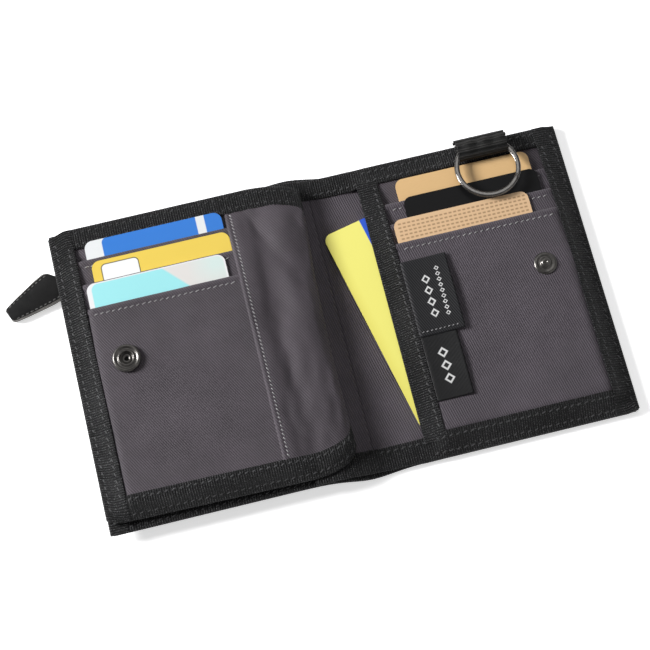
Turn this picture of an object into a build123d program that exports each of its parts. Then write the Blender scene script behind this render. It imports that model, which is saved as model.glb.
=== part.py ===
from build123d import *
import os
from math import cos, degrees, radians, sin

# A bifold wallet, open and lying face up, in millimetres.
# X runs across the open wallet, Y runs up the page and +Z points away from the table.
# The functions measure X from the middle of the spine. The written parts are moved so that
# the origin is the centre of the right half's underside, where the closed wallet is centred.

# --- driving dimensions ---
height = 120.0          # length of the spine and of both halves
half_width = 102.0      # middle of the spine to the outer edge
origin_x = 55.5         # the written origin, from the middle of the spine
tape = 0.4              # thickness of the binding tape
tape_width = 7.9        # reach of the tape over the fabric
tape_under = 3.0        # reach of the tape under the coin pocket side
shell_cloth = 0.6       # thickness of the outer cloth
cloth = 0.3             # thickness of the lining cloth
card_width, card_length, card_thick = 53.98, 85.6, 0.76
card_corner = 3.18
slip = 0.1              # gap on each face of a card
edge_inset = 0.4        # cloth stops this far inside the tape's outer face

# fold: two parallel axes, one at each side of the spine strip
spine_length = 18.8     # between the two fold axes
spine_slope = 15.0      # chord of the spine over the table when open, degrees
fold_gap = 0.6          # cloth stops this far from a fold axis
fold_z_right = tape + shell_cloth / 2
fold_z_left = fold_z_right + spine_length * sin(radians(spine_slope))
fold_x = spine_length * cos(radians(spine_slope)) / 2
spine_radius = spine_length / 2 / sin(radians(spine_slope))

top_y = height / 2
tape_y = top_y - tape_width
cloth_y = top_y - edge_inset
cloth_x = half_width - edge_inset
tape_x = half_width - tape_width

# --- right half, from the table up ---
shell_right_z = tape
lining_right_z = shell_right_z + shell_cloth
blue_loose_z = lining_right_z + cloth + slip
yellow_loose_z = 2.55
panel_x = 19.5          # left edge of the card panel
panel_tape_width = 8.2
panel_z = yellow_loose_z + card_thick + slip + tape
right_tape_z = panel_z + cloth + tape
right_card_z = right_tape_z + slip

# --- left half, from the table up ---
shell_left_z = fold_z_left - shell_cloth / 2
coin_back = 0.2         # thin lining between the coin pocket and the shell
coin_back_z = shell_left_z - coin_back
coin_face_z = 3.3       # underside of the coin pocket beside the zipper
coin_cloth = 0.4
coin_x0, coin_x1 = -99.0, -12.0
coin_y = 57.0
coin_step_y = 12.0      # the pocket is full depth below this line
coin_slope_y = 17.0
page_z = 8.6
page_tape_z = page_z + cloth + tape
left_card_z = page_tape_z + slip
page_edge_x = -10.8     # outermost point of the page's rolled edge
roll_radius = 3.2
roll_end_z = 6.4

# --- card pockets: opening edge (y), card's left edge (x), card's top edge (y) ---
card_pitch = card_thick + 2 * slip + cloth
rivet_gap = 0.4         # room behind the front pocket for a snap's flange
right_pockets = [(42.0, 34.2, 51.0), (33.0, 35.5, 42.7), (24.5, 29.2, 34.0)]
left_pockets = [(45.9, -89.1, 53.2), (35.9, -87.9, 44.2), (25.5, -91.5, 35.3)]
right_inside = (28.9, 90.1)
left_inside = (-92.0, -33.5)
right_top_z = right_card_z + 3 * card_pitch - slip + rivet_gap
left_top_z = left_card_z + 3 * card_pitch - slip + rivet_gap

# --- snap ---
snap_x, snap_y = 82.0, 3.0
stud_flange_r, stud_flange = 4.5, 0.7
stud_head_r, stud_height = 2.1, 2.2
socket_r, socket_height = 5.4, 1.7
socket_bore_r, socket_depth = 2.4, 1.5
rivet_r = 3.5

# --- zipper ---
zip_y = 45.0
zip_x0, zip_x1 = -97.0, -19.5
coil_inner, coil_outer = 0.45, 1.9
coil_z0, coil_z1 = 3.2, 4.1
zip_tape_reach = 7.0
slider_x = -92.5
slider_half_length, slider_half_width = 4.5, 3.2
slider_plate_low, slider_plate_high = 2.4, 4.3
slider_plate = 0.5
crown_z, crown_width, crown_length, crown_wall = 0.3, 2.2, 6.4, 0.8
bail_wire_r = 0.5
bail_z = 1.6
bail_half_width = 3.0
bail_length = 4.0
pull_angle = 23.0
pull_thick = 2.2

# --- key ring and its webbing loop ---
ring_x = 70.9
ring_outer_r, ring_inner_r = 13.0, 11.3
ring_wire_height, ring_pitch, ring_turns = 0.85, 0.9, 1.92
ring_tilt = 5.0
ring_far_y = 59.5
ring_far_z = 7.8
loop_cloth = 0.6
loop_width = 20.0
loop_y0, loop_y1 = 50.6, 60.4
loop_z0, loop_z1 = 5.65, 10.6
loop_foot_y = 57.4
loop_foot_z = 4.9

parts = {}


def block(x0, x1, y0, y1, z0, z1):
    """A box between two corners."""
    return Pos((x0 + x1) / 2, (y0 + y1) / 2, (z0 + z1) / 2) * Box(x1 - x0, y1 - y0, z1 - z0)


def across(outline, y0, y1):
    """An outline of X and Z points, drawn out along Y."""
    face = make_face(Polyline(*outline, close=True))
    return extrude(Plane((0, y1, 0), x_dir=(1, 0, 0), z_dir=(0, -1, 0)) * face, y1 - y0)


def along(outline, x0, x1):
    """An outline of Y and Z points, drawn out along X."""
    face = make_face(Polyline(*outline, close=True))
    return extrude(Plane((x0, 0, 0), x_dir=(0, 1, 0), z_dir=(1, 0, 0)) * face, x1 - x0)


def card(x0, y_top, z0):
    """A standard card standing on its short edge."""
    slab = extrude(RectangleRounded(card_width, card_length, card_corner), card_thick)
    return Pos(x0 + card_width / 2, y_top - card_length / 2, z0) * slab


def cylinder(x, y, z0, z1, r):
    return Pos(x, y, (z0 + z1) / 2) * Cylinder(r, z1 - z0)


# --- spine ---
def spine_point(r, angle):
    """A point of the spine's arc, whose angle is 0 at the right fold axis."""
    centre_z = fold_z_right + spine_radius
    return (fold_x - r * sin(radians(angle)), centre_z - r * cos(radians(angle)))


def spine_sheet(inward, outward, y0, y1):
    """A curved sheet from inward to outward of the spine's middle surface."""
    start = degrees(fold_gap / spine_radius)
    end = 2 * spine_slope - start
    low, high = spine_radius + outward, spine_radius - inward
    middle = (start + end) / 2
    edge = [
        ThreePointArc(spine_point(low, start), spine_point(low, middle), spine_point(low, end)),
        Line(spine_point(low, end), spine_point(high, end)),
        ThreePointArc(spine_point(high, end), spine_point(high, middle), spine_point(high, start)),
        Line(spine_point(high, start), spine_point(low, start)),
    ]
    face = make_face(edge)
    return extrude(Plane((0, y1, 0), x_dir=(1, 0, 0), z_dir=(0, -1, 0)) * face, y1 - y0)


def build_spine():
    half = shell_cloth / 2
    strip = spine_sheet(half, half, -cloth_y, cloth_y)
    lining = spine_sheet(half + cloth, -half, -cloth_y, cloth_y)
    parts["spine_strip"] = strip
    parts["gutter_lining"] = lining
    for name, y0, y1 in (("top", tape_y, top_y), ("bottom", -top_y, -tape_y)):
        wrap = spine_sheet(half + cloth + tape, half + tape, y0, y1)
        parts["spine_binding_" + name] = wrap - strip - lining


# --- right half ---
def build_right_shell():
    x0 = fold_x + fold_gap
    lining_x0 = fold_x + fold_gap + 0.5
    shell = block(x0, cloth_x, -cloth_y, cloth_y, shell_right_z, lining_right_z)
    shell += block(x0, tape_x, -tape_y, tape_y, 0, shell_right_z)
    lining = block(lining_x0, cloth_x, -cloth_y, cloth_y, lining_right_z, lining_right_z + cloth)
    panel = block(panel_x + edge_inset, cloth_x, -cloth_y, cloth_y, panel_z, panel_z + cloth)
    parts["shell_right"] = shell
    parts["right_lining"] = lining
    parts["card_panel_back"] = panel

    start = lining_x0 + 0.5
    gutter_top = lining_right_z + cloth + tape
    for name, y0, y1 in (("top", tape_y, top_y), ("bottom", -top_y, -tape_y)):
        gutter = block(start, panel_x, y0, y1, 0, gutter_top)
        edge = block(panel_x, half_width, y0, y1, 0, right_tape_z)
        parts["binding_right_" + name] = gutter + edge - shell - lining - panel
    side = block(tape_x, half_width, -tape_y, tape_y, 0, right_tape_z)
    parts["binding_right_side"] = side - shell - lining - panel
    wrap = block(panel_x, panel_x + panel_tape_width, -tape_y, tape_y, panel_z - tape, right_tape_z)
    parts["card_panel_binding"] = wrap - panel


def pocket(order, inside, edge_y, bottom_y, base_z, face_z):
    """An open-topped pouch: a face with side walls and a bottom wall down to the base."""
    x0, x1 = inside[0] - cloth * (order + 1), inside[1] + cloth * (order + 1)
    outer = block(x0, x1, bottom_y - cloth, edge_y, base_z, face_z + cloth)
    hollow = block(x0 + cloth, x1 - cloth, bottom_y, edge_y + 1, base_z - 1, face_z)
    return outer - hollow


def build_pockets(side, pockets, inside, base_z, card_z):
    for order, (edge_y, card_x, card_top) in enumerate(pockets):
        z = card_z + order * card_pitch
        face_z = z + card_thick + slip + (rivet_gap if order == 2 else 0)
        bottom_y = card_top - card_length - slip
        name = side + "_card_pocket_" + str(order + 1)
        parts[name] = pocket(order, inside, edge_y, bottom_y, base_z, face_z)
        parts[side + "_card_" + str(order + 1)] = card(card_x, card_top, z)


def build_loose_cards():
    """Two cards in the side pocket behind the card panel."""
    lean = 12.3
    corner = (1.7, 35.6)
    parts["loose_card_front"] = Pos(corner[0], corner[1], yellow_loose_z) * Rot(0, 0, lean) * card(0, 0, 0)
    parts["loose_card_rear"] = card(18.9, 41.0, blue_loose_z)


def build_labels():
    z = right_top_z
    parts["label_upper"] = block(28.0, 45.5, -13.0, 16.5, z, z + cloth)
    parts["label_lower"] = block(28.0, 42.0, -40.0, -13.3, z, z + cloth)


# --- snap ---
def build_stud():
    z = right_top_z
    flange = cylinder(snap_x, snap_y, z, z + stud_flange, stud_flange_r)
    head = cylinder(snap_x, snap_y, z + stud_flange, z + stud_height, stud_head_r)
    head = chamfer(head.edges().group_by(Axis.Z)[-1], 0.4)
    parts["snap_stud"] = flange + head
    parts["snap_stud_rivet"] = cylinder(snap_x, snap_y, z - cloth - rivet_gap, z - cloth, rivet_r)


def build_socket():
    z = left_top_z
    ring = cylinder(-snap_x, snap_y, z, z + socket_height, socket_r)
    ring = fillet(ring.edges().group_by(Axis.Z)[-1], 0.5)
    bore = cylinder(-snap_x, snap_y, z + socket_height - socket_depth, z + socket_height, socket_bore_r)
    parts["snap_socket"] = ring - bore
    parts["snap_socket_rivet"] = cylinder(-snap_x, snap_y, z - cloth - rivet_gap, z - cloth, rivet_r)


# --- left half ---
def build_left_shell():
    x1 = -(fold_x + fold_gap)
    z0, z1 = shell_left_z, shell_left_z + shell_cloth
    shell = block(-cloth_x, x1, -cloth_y, cloth_y, z0, z1)
    parts["shell_left"] = shell
    end = x1 - 1.0
    for name, sign in (("top", 1), ("bottom", -1)):
        over_y = sorted((sign * tape_y, sign * top_y))
        under_y = sorted((sign * (top_y - tape_under), sign * top_y))
        over = block(-half_width, end, over_y[0], over_y[1], z0, z1 + tape)
        under = block(-half_width, end, under_y[0], under_y[1], z0 - tape, z0)
        parts["shell_binding_" + name] = over + under - shell
    over = block(-half_width, -tape_x, -tape_y, tape_y, z0, z1 + tape)
    under = block(-half_width, tape_under - half_width, -coin_y, coin_y, z0 - tape, z0)
    cap = block(-half_width, -tape_x, tape_y, top_y, z0 - tape, z1 + tape)
    foot = block(-half_width, -tape_x, -top_y, -tape_y, z0 - tape, z1 + tape)
    parts["shell_binding_side"] = over + under - shell - cap - foot


def build_gusset():
    """Two strips that close the note compartment at its outer side and at its bottom."""
    z0, z1 = shell_left_z + shell_cloth + tape, page_z - tape
    inset = 1.5
    x0 = -half_width + inset
    y0 = -top_y + inset
    parts["note_gusset_side"] = block(x0, x0 + tape, y0 + tape, top_y - inset, z0, z1)
    parts["note_gusset_bottom"] = block(x0, page_edge_x - 4, y0, y0 + tape, z0, z1)


def page_sheet(under, over, y0, y1, x0):
    """The page's lining from x0 to its rolled edge, thickened by under and over."""
    low, high = page_z - under, page_z + cloth + over
    outer_x, inner_x = page_edge_x + over, page_edge_x - cloth - under
    bend_x, bend_z = page_edge_x - roll_radius, page_z + cloth - roll_radius
    outer_r, inner_r = roll_radius + over, roll_radius - cloth - under
    k = sin(radians(45))
    edge = [
        Line((x0, high), (bend_x, high)),
        ThreePointArc((bend_x, high), (bend_x + outer_r * k, bend_z + outer_r * k), (outer_x, bend_z)),
        Polyline((outer_x, bend_z), (outer_x, roll_end_z - 0.6), (inner_x, roll_end_z - 0.6), (inner_x, bend_z)),
        ThreePointArc((inner_x, bend_z), (bend_x + inner_r * k, bend_z + inner_r * k), (bend_x, low)),
        Polyline((bend_x, low), (x0, low), (x0, high)),
    ]
    face = make_face(edge)
    sheet = extrude(Plane((0, y1, 0), x_dir=(1, 0, 0), z_dir=(0, -1, 0)) * face, y1 - y0)
    return sheet - block(x0, 0, y0, y1, 0, roll_end_z)


def build_page():
    lining = page_sheet(0, 0, -cloth_y, cloth_y, -cloth_x)
    parts["page_lining"] = lining
    for name, y0, y1 in (("top", tape_y, top_y), ("bottom", -top_y, -tape_y)):
        parts["page_binding_" + name] = page_sheet(tape, tape, y0, y1, -half_width) - lining
    side = block(-half_width, -tape_x, -tape_y, tape_y, page_z - tape, page_tape_z)
    parts["page_binding_side"] = side - lining


def build_coin_pocket():
    z1 = coin_back_z
    c = coin_cloth
    zip_low, zip_high = zip_y - slider_half_width - 0.3, zip_y + slider_half_width + 0.3
    parts["coin_pocket_back"] = block(coin_x0, coin_x1, -coin_y, coin_y, z1, shell_left_z)
    outer = [(-coin_y, 0), (coin_step_y, 0), (coin_slope_y, coin_face_z), (zip_low, coin_face_z),
             (zip_low, z1), (-coin_y, z1)]
    inner = [(c - coin_y, c), (coin_step_y - c / 2, c), (coin_slope_y - c / 2, coin_face_z + c),
             (zip_low + 1, coin_face_z + c), (zip_low + 1, z1 + 1), (c - coin_y, z1 + 1)]
    parts["coin_pocket_face"] = along(outer, coin_x0, coin_x1) - along(inner, coin_x0 + c, coin_x1 - c)
    upper = block(coin_x0, coin_x1, zip_high, coin_y, coin_face_z, z1)
    hollow = block(coin_x0 + c, coin_x1 - c, zip_high - 1, coin_y - c, coin_face_z + c, z1 + 1)
    parts["coin_pocket_top_face"] = upper - hollow


def build_zipper():
    z0 = coin_face_z + coin_cloth
    gap = slider_half_width + 0.3
    x0, x1 = coin_x0 + coin_cloth, coin_x1 - coin_cloth
    for name, sign in (("upper", 1), ("lower", -1)):
        tape_span = sorted((zip_y + sign * coil_outer, zip_y + sign * (gap + zip_tape_reach)))
        coil_span = sorted((zip_y + sign * coil_inner, zip_y + sign * coil_outer))
        parts["zipper_tape_" + name] = block(x0, x1, tape_span[0], tape_span[1], z0, z0 + cloth)
        parts["zipper_coil_" + name] = block(zip_x0, zip_x1, coil_span[0], coil_span[1], coil_z0, coil_z1)
    low, high = zip_y - coil_outer, zip_y + coil_outer
    stop_start = block(zip_x0 - 1.2, zip_x0 - 0.2, low, low + 1.2, coil_z0, coil_z1)
    stop_twin = block(zip_x0 - 1.2, zip_x0 - 0.2, high - 1.2, high, coil_z0, coil_z1)
    stop_end = block(zip_x1, zip_x1 + 1.5, low, high, coil_z0, coil_z1)
    parts["zipper_stops"] = Compound([stop_start, stop_twin, stop_end])


def build_slider():
    x, y = slider_x, zip_y
    hl, hw = slider_half_length, slider_half_width
    low = block(x - hl, x + hl, y - hw, y + hw, slider_plate_low, slider_plate_low + slider_plate)
    high = block(x - hl, x + hl, y - hw, y + hw, slider_plate_high, slider_plate_high + 0.45)
    low = fillet(low.edges().filter_by(Axis.Z), 1.2)
    high = fillet(high.edges().filter_by(Axis.Z), 1.2)
    post = block(x - hl + 0.8, x - hl + 3.0, y - 0.2, y + 0.2, slider_plate_low, slider_plate_high + 0.2)
    lip_low = slider_plate_low + slider_plate
    lips = [block(x - hl + 1.2, x + hl - 1.2, y + s * hw - 0.25 - s * 0.25, y + s * hw + 0.25 - s * 0.25,
                  lip_low, lip_low + 0.45) for s in (-1, 1)]
    crown = block(x - crown_length / 2, x + crown_length / 2, y - crown_width / 2, y + crown_width / 2,
                  crown_z, slider_plate_low)
    crown = fillet(crown.edges().filter_by(Axis.Y).group_by(Axis.Z)[0], 0.6)
    reach = crown_length / 2 - crown_wall
    tunnel = block(x - reach, x + reach, y - crown_width, y + crown_width, crown_z + 0.65, slider_plate_low)
    parts["zipper_slider"] = low + high + post + lips[0] + lips[1] + (crown - tunnel)


def build_bail():
    """A wire ring with a straight bar in the slider's crown and a round outer end."""
    x, y, w = slider_x, zip_y, bail_half_width
    bar = Pos(x, y, bail_z) * Rot(90, 0, 0) * Cylinder(bail_wire_r, 2 * w)
    bail = bar
    for sign in (-1, 1):
        bail += Pos(x, y + sign * w, bail_z) * Sphere(bail_wire_r)
        bail += Pos(x - bail_length / 2, y + sign * w, bail_z) * Rot(0, 90, 0) * Cylinder(bail_wire_r, bail_length)
    ring = Pos(x - bail_length, y, bail_z) * Torus(w, bail_wire_r)
    bail += ring & block(x - bail_length - w - 1, x - bail_length, y - w - 1, y + w + 1, 0, bail_z + 2)
    parts["pull_bail"] = bail


def build_pull():
    """Two stitched layers of leather, narrow where they hold the bail and tapered to the tip."""
    half = [(1.7, 1.4), (5.0, 1.9), (7.6, 5.4), (9.2, 5.75), (12.6, 5.6), (28.2, 3.0), (29.2, 2.2)]
    outline = [(-u, w) for u, w in half] + [(-u, -w) for u, w in reversed(half)]
    face = make_face(Polyline(*outline, close=True))
    channel = Torus(bail_half_width, bail_wire_r + 0.15)
    place = Pos(slider_x - bail_length, zip_y, bail_z) * Rot(0, 0, pull_angle)
    layers = (("outer", -pull_thick / 2), ("inner", 0))
    for name, z0 in layers:
        layer = Pos(0, 0, z0) * extrude(face, pull_thick / 2)
        parts["pull_leather_" + name] = place * (layer - channel)


# --- key ring ---
def build_ring():
    middle_r = (ring_outer_r + ring_inner_r) / 2
    path = Helix(ring_pitch, ring_pitch * ring_turns, middle_r)
    section = Plane(origin=path @ 0, x_dir=(1, 0, 0), z_dir=path % 0)
    wire = sweep(section * Rectangle(ring_outer_r - ring_inner_r, ring_wire_height), path, is_frenet=True)
    wire = Pos(0, 0, -ring_pitch * ring_turns / 2) * wire
    centre_y = ring_far_y - ring_outer_r * cos(radians(ring_tilt))
    centre_z = ring_far_z + ring_outer_r * sin(radians(ring_tilt))
    parts["key_ring"] = Pos(ring_x, centre_y, centre_z) * Rot(-ring_tilt, 0, 0) * wire


def build_loop():
    """A flattened loop of webbing round the ring's far side, with a foot at the binding."""
    x0, x1 = ring_x - loop_width / 2, ring_x + loop_width / 2
    outer = block(x0, x1, loop_y0, loop_y1, loop_z0, loop_z1)
    outer = fillet(outer.edges().filter_by(Axis.X).group_by(Axis.Y)[0], 2.2)
    inner = block(x0 - 1, x1 + 1, loop_y0 + loop_cloth, loop_y1 - loop_cloth,
                  loop_z0 + loop_cloth, loop_z1 - loop_cloth)
    inner = fillet(inner.edges().filter_by(Axis.X).group_by(Axis.Y)[0], 1.6)
    foot = block(x0, x1, loop_foot_y, loop_y1, loop_foot_z, loop_z0)
    parts["webbing_loop"] = outer - inner + foot


build_spine()
build_right_shell()
build_pockets("right", right_pockets, right_inside, panel_z + cloth, right_card_z)
build_loose_cards()
build_labels()
build_stud()
build_left_shell()
build_gusset()
build_page()
build_pockets("left", left_pockets, left_inside, page_z + cloth, left_card_z)
build_socket()
build_coin_pocket()
build_zipper()
build_slider()
build_bail()
build_pull()
build_ring()
build_loop()

os.makedirs("parts", exist_ok=True)
for name, shape in parts.items():
    export_step(Pos(-origin_x, 0, 0) * shape, "parts/" + name + ".step")
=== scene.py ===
from functools import cache
from math import ceil, cos, floor, pi, radians, sin

import bmesh
import bpy
import numpy as np
from mathutils import Matrix, Vector


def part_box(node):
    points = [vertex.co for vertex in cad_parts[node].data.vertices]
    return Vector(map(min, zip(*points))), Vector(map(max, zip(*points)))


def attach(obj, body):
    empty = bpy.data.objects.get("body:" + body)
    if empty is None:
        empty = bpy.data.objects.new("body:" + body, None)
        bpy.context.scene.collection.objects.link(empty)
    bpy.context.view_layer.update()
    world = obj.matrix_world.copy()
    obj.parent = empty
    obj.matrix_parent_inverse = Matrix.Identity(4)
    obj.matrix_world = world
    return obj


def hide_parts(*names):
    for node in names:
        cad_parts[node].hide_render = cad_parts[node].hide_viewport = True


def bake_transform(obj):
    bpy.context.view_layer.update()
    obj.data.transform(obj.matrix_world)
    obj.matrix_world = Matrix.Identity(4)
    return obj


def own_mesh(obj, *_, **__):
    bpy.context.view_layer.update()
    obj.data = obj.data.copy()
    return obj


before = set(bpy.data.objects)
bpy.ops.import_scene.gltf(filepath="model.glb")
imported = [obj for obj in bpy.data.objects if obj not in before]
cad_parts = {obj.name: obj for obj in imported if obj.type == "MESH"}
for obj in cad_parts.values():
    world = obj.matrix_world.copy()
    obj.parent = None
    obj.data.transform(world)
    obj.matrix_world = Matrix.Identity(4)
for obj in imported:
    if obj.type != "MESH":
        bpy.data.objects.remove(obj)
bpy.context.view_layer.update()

# The looks of an open bifold wallet. Lengths here are in millimetres, and X is measured from the
# middle of the spine, as in the CAD source. mesh() turns them into the row frame's metres.

MM = 0.001
SPINE = (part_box("page_binding_side")[0].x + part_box("binding_right_side")[1].x) / 2


def span(node):
    """A CAD node's lowest and highest corner, in millimetres from the middle of the spine."""
    low, high = (np.array(p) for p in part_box(node))
    shift = np.array([SPINE, 0, 0])
    return (low - shift) / MM, (high - shift) / MM


def row(x, y, z):
    """A point of these millimetres as a point of the row frame."""
    return Vector((x * MM + SPINE, y * MM, z * MM))


# --- sizes read from the frame ---
HALF = span("binding_right_side")[1][0]
TOP = span("binding_right_top")[1][1]
PAGE_Z = span("page_lining")[1][2]
PANEL_X = span("card_panel_binding")[0][0]
PANEL_Z = span("card_panel_back")[1][2]
LEFT_FACES = [span("left_card_pocket_%d" % k) for k in (1, 2, 3)]
RIGHT_FACES = [span("right_card_pocket_%d" % k) for k in (1, 2, 3)]
SOCKET = span("snap_socket")
STUD = span("snap_stud")
FOLD_R = (9.08, 0.70)   # X and Z of the right fold's axis
FOLD_L = (-9.08, 5.566)
# the two bodies on each side of a fold, the X where the bend starts and ends, and the axis's Z
BENDS = {"left_bend": ("left_half", "spine", FOLD_L[0] - 4, FOLD_L[0] + 4, FOLD_L[1]),
         "right_bend": ("spine", "right_half", FOLD_R[0] - 4, FOLD_R[0] + 3, FOLD_R[1])}

# --- sizes of the soft detail ---
TAPE = 0.45             # thickness of the binding tape
CLOTH = 0.3             # thickness of the lining
SHELL = 0.5             # thickness of the outer cloth
COIN_CLOTH = 0.35       # thickness of the coin pocket's cloth
LABEL = 0.28            # thickness of a woven label
RIB = 0.95              # pitch of the tape's ribs
STITCH = 2.7            # pitch of the stitching
HEM = 2.4               # width of the folded edge of a pocket
HEM_ROW = HEM + 0.55    # where the hem is sewn, from the pocket's opening
EDGE_Z = 2.5            # height of the sewn edge of the right half
SEAM_X = -33.9          # where the page's flap lies over the ends of the pockets
ROLL_X = -8.4           # outermost point of the page's rolled edge
PAGE_U = 97.0           # length of the page's cloth from its outer edge to the end of the roll
ROLL_U = 80.0           # where the roll starts
ROLL_END_Z = 6.9        # height of the end of the roll
PAGE_SHORT = 2.2        # the page is cut a little shorter than the outer cloth at its bottom
UP = (0, 0, 1.0)


def smooth(t):
    t = np.clip(t, 0, 1)
    return t * t * (3 - 2 * t)


def mix(a, b, t):
    return a + (b - a) * t


def hump(x, width):
    return np.exp(-(x / width) ** 2)


def xyz(x, y, z):
    """Points from coordinates that broadcast together."""
    return np.stack(np.broadcast_arrays(x, y, z), -1)


def pairs(a, b):
    """A grid of the pairs of two rows of numbers."""
    return np.stack(np.meshgrid(a, b, indexing="ij"), 2)


def circle(count):
    return np.linspace(0, 2 * pi, count, endpoint=False)


def unit(vectors):
    return vectors / np.maximum(np.linalg.norm(vectors, axis=-1, keepdims=True), 1e-9)


def lengths(line):
    """Distance along a line of points to each of them."""
    return np.concatenate([[0], np.cumsum(np.linalg.norm(np.diff(line, axis=0), axis=1))])


def sample(at, far, line):
    """Points of a line at distances along it."""
    return np.stack([np.interp(at, far, c) for c in line.T], 1)


def soften(values, times):
    """Rounds off a row of numbers in place. Its ends stay."""
    for _ in range(times):
        values[1:-1] = (values[:-2] + 2 * values[1:-1] + values[2:]) / 4


def ripple(x, y, size, seed, lean=None, spread=pi):
    """Smooth random waves about size long, between -1 and 1. lean and spread limit their direction."""
    r = np.random.default_rng(seed)
    total = 0
    for _ in range(8):
        a = r.uniform(0, 2 * pi) if lean is None else lean + r.uniform(-spread, spread)
        k = 2 * pi / (size * r.uniform(0.65, 1.6))
        total = total + np.sin(k * (cos(a) * x + sin(a) * y) + r.uniform(0, 6.28))
    return total / 5


def grid(u0, u1, v0, v1, step):
    u, v = (np.linspace(a, b, max(3, int(abs(b - a) / step) + 1)) for a, b in ((u0, u1), (v0, v1)))
    return np.meshgrid(u, v, indexing="ij")


# --- meshes ---
def add_object(name, data):
    obj = bpy.data.objects.new(name, data)
    bpy.context.scene.collection.objects.link(obj)
    return obj


def mesh(name, points, faces, look, uv=None):
    """An object from points in millimetres, with one look on all of it."""
    co = np.asarray(points, float).reshape(-1, 3) * MM
    co[:, 0] += SPINE
    co[:, 2] = np.maximum(co[:, 2], 0.0)    # pressed flat on the table
    data = bpy.data.meshes.new(name)
    data.from_pydata(co.tolist(), [], [list(map(int, f)) for f in faces])
    if uv is not None:
        layer = data.uv_layers.new(name="UVMap")
        loops = np.zeros(len(data.loops), np.int32)
        data.loops.foreach_get("vertex_index", loops)
        layer.data.foreach_set("uv", np.asarray(uv, np.float32).reshape(-1, 2)[loops].ravel())
    data.validate()
    data.polygons.foreach_set("use_smooth", [True] * len(data.polygons))
    data.update()
    data.materials.append(look)
    return add_object(name, data)


def fix_normals(obj):
    bm = bmesh.new()
    bm.from_mesh(obj.data)
    bmesh.ops.recalc_face_normals(bm, faces=bm.faces)
    bm.to_mesh(obj.data)
    bm.free()
    return obj


def quads(index, flip=False):
    """Faces between the neighbours of a grid of point numbers."""
    a, b, c, d = index[:-1, :-1], index[1:, :-1], index[1:, 1:], index[:-1, 1:]
    order = (a, d, c, b) if flip else (a, b, c, d)
    return np.stack([p.ravel() for p in order], 1)


def tube(count, around, first=0):
    """Faces of a tube through rings of points, and of its two ends."""
    index = np.arange(count * around).reshape(count, around) + first
    wrap = np.concatenate([index, index[:, :1]], 1)
    return [list(f) for f in quads(wrap, True)] + [list(index[0]), list(index[-1][::-1])]


def normals(points):
    return unit(np.cross(np.gradient(points, axis=0), np.gradient(points, axis=1)))


def sheet(name, top, thick, look, uv=None):
    """A closed thin sheet below a grid of points."""
    nu, nv = top.shape[:2]
    low = top - normals(top) * thick
    index = np.arange(nu * nv).reshape(nu, nv)
    rim = np.concatenate([index[:, 0], index[-1, 1:], index[-2::-1, -1], index[0, -2:0:-1]])
    after = np.roll(rim, -1)
    faces = [quads(index), quads(index + nu * nv, True),
             np.stack([after, rim, rim + nu * nv, after + nu * nv], 1)]
    uv = pairs(range(nu), range(nv)) if uv is None else uv
    return mesh(name, np.concatenate([top.reshape(-1, 3), low.reshape(-1, 3)]),
                np.concatenate(faces), look, np.concatenate([uv.reshape(-1, 2)] * 2))


def loft(name, rings, look, uv=None):
    """A solid through closed rings of points, with capped ends."""
    rings = np.asarray(rings, float)
    ns, nq = rings.shape[:2]
    uv = pairs(range(ns), range(nq)) * 0.3 if uv is None else uv
    return fix_normals(mesh(name, rings, tube(ns, nq), look, uv))


def lathe(name, outline, centre, look):
    """A round solid from an outline of radius and height that starts and ends on the axis."""
    parts = 64
    angle = circle(parts)
    rings = [xyz(centre[0] + r * np.cos(angle), centre[1] + r * np.sin(angle), centre[2] + z)
             for r, z in outline[1:-1]]
    tips = [(centre[0], centre[1], centre[2] + z) for _, z in (outline[0], outline[-1])]
    count = len(rings) * parts
    faces = tube(len(rings), parts)[:-2]
    for tip, first in ((count, 0), (count + 1, count - parts)):
        for i in range(parts):
            pair = [first + i, first + (i + 1) % parts]
            faces.append([tip] + (pair if first == 0 else pair[::-1]))
    return fix_normals(mesh(name, np.concatenate(rings + [tips]), faces, look))


def stitches(name, line, up, look, pitch=STITCH, long=2.1, wide=0.52, high=0.36, twist=0.42):
    """A row of stitches along a line of points. up is the surface's normal, here or at each point."""
    line = np.asarray(line, float)
    far = lengths(line)
    count = max(1, int(far[-1] / pitch))
    at = (np.arange(count) + 0.5) * far[-1] / count
    ahead = unit(sample(at + 0.2, far, line) - sample(at - 0.2, far, line))
    nor = unit(sample(at, far, np.broadcast_to(np.asarray(up, float), line.shape)))
    r = np.random.default_rng(len(name))
    turn = twist + r.normal(0, 0.05, (count, 1))
    size = 1 + r.normal(0, 0.05, (count, 1, 1))
    ahead = ahead * np.cos(turn) + np.cross(nor, ahead) * np.sin(turn)
    side = np.cross(nor, ahead)
    # one thread is a bent bead: its ends dive into the cloth
    along = np.array([-1, -0.86, -0.5, 0, 0.5, 0.86, 1])[:, None]
    fat = np.array([0.25, 0.7, 1, 1, 1, 0.7, 0.25])[:, None]
    ring = circle(8)
    bead = xyz(along * long / 2, fat * np.cos(ring) * wide / 2,
               fat * np.sin(ring) * high / 2 + 0.04 - 0.3 * along ** 4)
    x, y, z = (c.reshape(1, -1, 1) for c in np.moveaxis(bead, 2, 0))
    points = (sample(at, far, line)[:, None] + ahead[:, None] * x * size + side[:, None] * y
              + nor[:, None] * z)
    faces = [f for k in range(count) for f in tube(7, 8, 56 * k)]
    return mesh(name, points, faces, look)


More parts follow.
